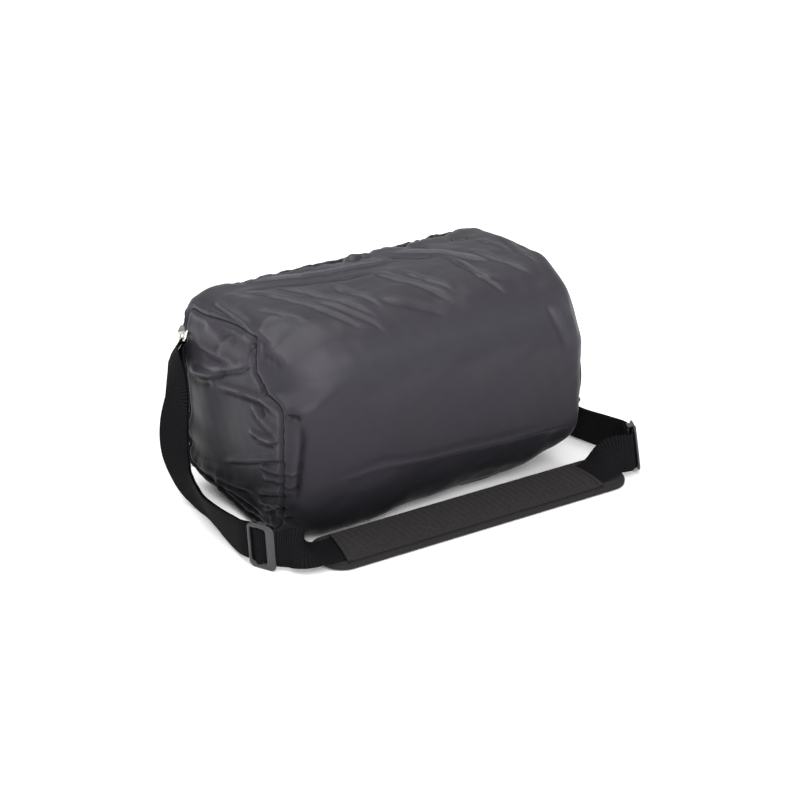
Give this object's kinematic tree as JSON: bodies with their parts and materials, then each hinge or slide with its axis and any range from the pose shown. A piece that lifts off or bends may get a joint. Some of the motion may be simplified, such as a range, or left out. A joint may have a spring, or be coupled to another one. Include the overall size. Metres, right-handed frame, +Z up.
{
  "type": "motorcycle tail bag",
  "caption": "Roll-shaped motorcycle tail bag under a dark grey rain cover, with a clipped-on webbing shoulder strap, sliding adjusters and a shoulder pad.",
  "frame": {"origin": "on the floor at the middle of the bag's underside", "axes": "+X along the bag's length, +Y towards the back where the rain cover is open, +Z up"},
  "size_m": [0.484, 0.298, 0.228],
  "materials": {
    "cover": "thin coated nylon, satin",
    "bag_fabric": "woven nylon, matt",
    "webbing": "ribbed webbing, matt",
    "padding": "mesh over foam, matt",
    "plastic": "moulded, satin",
    "zip_tape": "coil zip, matt",
    "rubber": "matt",
    "nickel": "plated, polished",
    "board": "sheet, matt"
  },
  "bodies": {
    "bag": {"rain_cover": "cover", "rain_cover_elastic": "rubber", "bag_body": "bag_fabric", "bag_lid": "bag_fabric", "zip_track": "zip_tape", "base_board": "board", "back_board": "board", "carry_handle": "webbing", "grip_panel": "rubber", "ring_tab_left": "webbing", "ring_tab_right": "webbing", "hook_eye_left": "nickel", "hook_eye_right": "nickel", "shoulder_webbing": "webbing", "socket_tab_upper_left": "webbing", "socket_tab_upper_right": "webbing", "socket_tab_lower_left": "webbing", "socket_tab_lower_right": "webbing"},
    "ring_left": {"d_ring_left": "nickel"},
    "hook_left": {"hook_body_left": "nickel"},
    "bolt_left": {"hook_bolt_left": "nickel"},
    "adjuster_left": {"tri_glide_left": "plastic"},
    "zip_runner_left": {"zip_slider_left": "nickel"},
    "zip_tag_left": {"zip_pull_left": "nickel"},
    "ring_right": {"d_ring_right": "nickel"},
    "hook_right": {"hook_body_right": "nickel"},
    "bolt_right": {"hook_bolt_right": "nickel"},
    "adjuster_right": {"tri_glide_right": "plastic"},
    "zip_runner_right": {"zip_slider_right": "nickel"},
    "zip_tag_right": {"zip_pull_right": "nickel"},
    "pad": {"shoulder_pad_base": "padding", "shoulder_pad_face": "padding"},
    "socket_upper_left": {"buckle_socket_upper_left": "plastic"},
    "socket_upper_right": {"buckle_socket_upper_right": "plastic"},
    "socket_lower_left": {"buckle_socket_lower_left": "plastic"},
    "socket_lower_right": {"buckle_socket_lower_right": "plastic"}
  },
  "joints": [
    {"name": "ring_swing_left", "type": "hinge", "parent": "bag", "child": "ring_left", "pos_m": [-0.148, 0.125, 0.194], "axis": [-0.6459, 0, 0.7634], "range_deg": [0, 7]},
    {"name": "hook_swivel_left", "type": "hinge", "parent": "bag", "child": "hook_left", "pos_m": [-0.192, 0.118, 0.156], "axis": [0.6781, 0.4375, 0.5906], "range_deg": [-18, 18]},
    {"name": "bolt_slide_left", "type": "slide", "parent": "hook_left", "child": "bolt_left", "axis": [0.6781, 0.4375, 0.5906], "range_m": [-0.0065, 0], "stiffness_N_per_m": 150},
    {"name": "adjuster_slide_left", "type": "slide", "parent": "bag", "child": "adjuster_left", "axis": [0.3998, -0.9166, 0], "range_m": [-0.006, 0.002]},
    {"name": "zip_slide_left", "type": "slide", "parent": "bag", "child": "zip_runner_left", "axis": [1, 0, 0], "range_m": [-0.08, 0]},
    {"name": "zip_pull_lift_left", "type": "hinge", "parent": "zip_runner_left", "child": "zip_tag_left", "pos_m": [-0.0199, -0.04316, 0.21582], "axis": [0, 0.9337, 0.3581], "range_deg": [0, 6]},
    {"name": "ring_swing_right", "type": "hinge", "parent": "bag", "child": "ring_right", "pos_m": [0.148, 0.125, 0.194], "axis": [-0.6459, 0, -0.7634], "range_deg": [0, 7]},
    {"name": "hook_swivel_right", "type": "hinge", "parent": "bag", "child": "hook_right", "pos_m": [0.192, 0.118, 0.156], "axis": [-0.6781, 0.4375, 0.5906], "range_deg": [-18, 18]},
    {"name": "bolt_slide_right", "type": "slide", "parent": "hook_right", "child": "bolt_right", "axis": [-0.6781, 0.4375, 0.5906], "range_m": [-0.0065, 0], "stiffness_N_per_m": 150},
    {"name": "adjuster_slide_right", "type": "slide", "parent": "bag", "child": "adjuster_right", "axis": [-0.5, -0.866, 0], "range_m": [-0.006, 0.002]},
    {"name": "zip_slide_right", "type": "slide", "parent": "bag", "child": "zip_runner_right", "axis": [1, 0, 0], "range_m": [0, 0.08]},
    {"name": "zip_pull_lift_right", "type": "hinge", "parent": "zip_runner_right", "child": "zip_tag_right", "pos_m": [0.0199, -0.04316, 0.21582], "axis": [0, -0.9337, -0.3581], "range_deg": [0, 6]},
    {"name": "pad_slide", "type": "slide", "parent": "bag", "child": "pad", "axis": [1, 0, 0], "range_m": [-0.004, 0.001]},
    {"name": "socket_swing_upper_left", "type": "hinge", "parent": "bag", "child": "socket_upper_left", "pos_m": [-0.112, 0.125, 0.17], "axis": [1, 0, 0], "range_deg": [0, 30]},
    {"name": "socket_swing_upper_right", "type": "hinge", "parent": "bag", "child": "socket_upper_right", "pos_m": [0.112, 0.125, 0.17], "axis": [1, 0, 0], "range_deg": [0, 30]},
    {"name": "socket_swing_lower_left", "type": "hinge", "parent": "bag", "child": "socket_lower_left", "pos_m": [-0.112, 0.125, 0.088], "axis": [1, 0, 0], "range_deg": [0, 30]},
    {"name": "socket_swing_lower_right", "type": "hinge", "parent": "bag", "child": "socket_lower_right", "pos_m": [0.112, 0.125, 0.088], "axis": [1, 0, 0], "range_deg": [0, 30]}
  ]
}
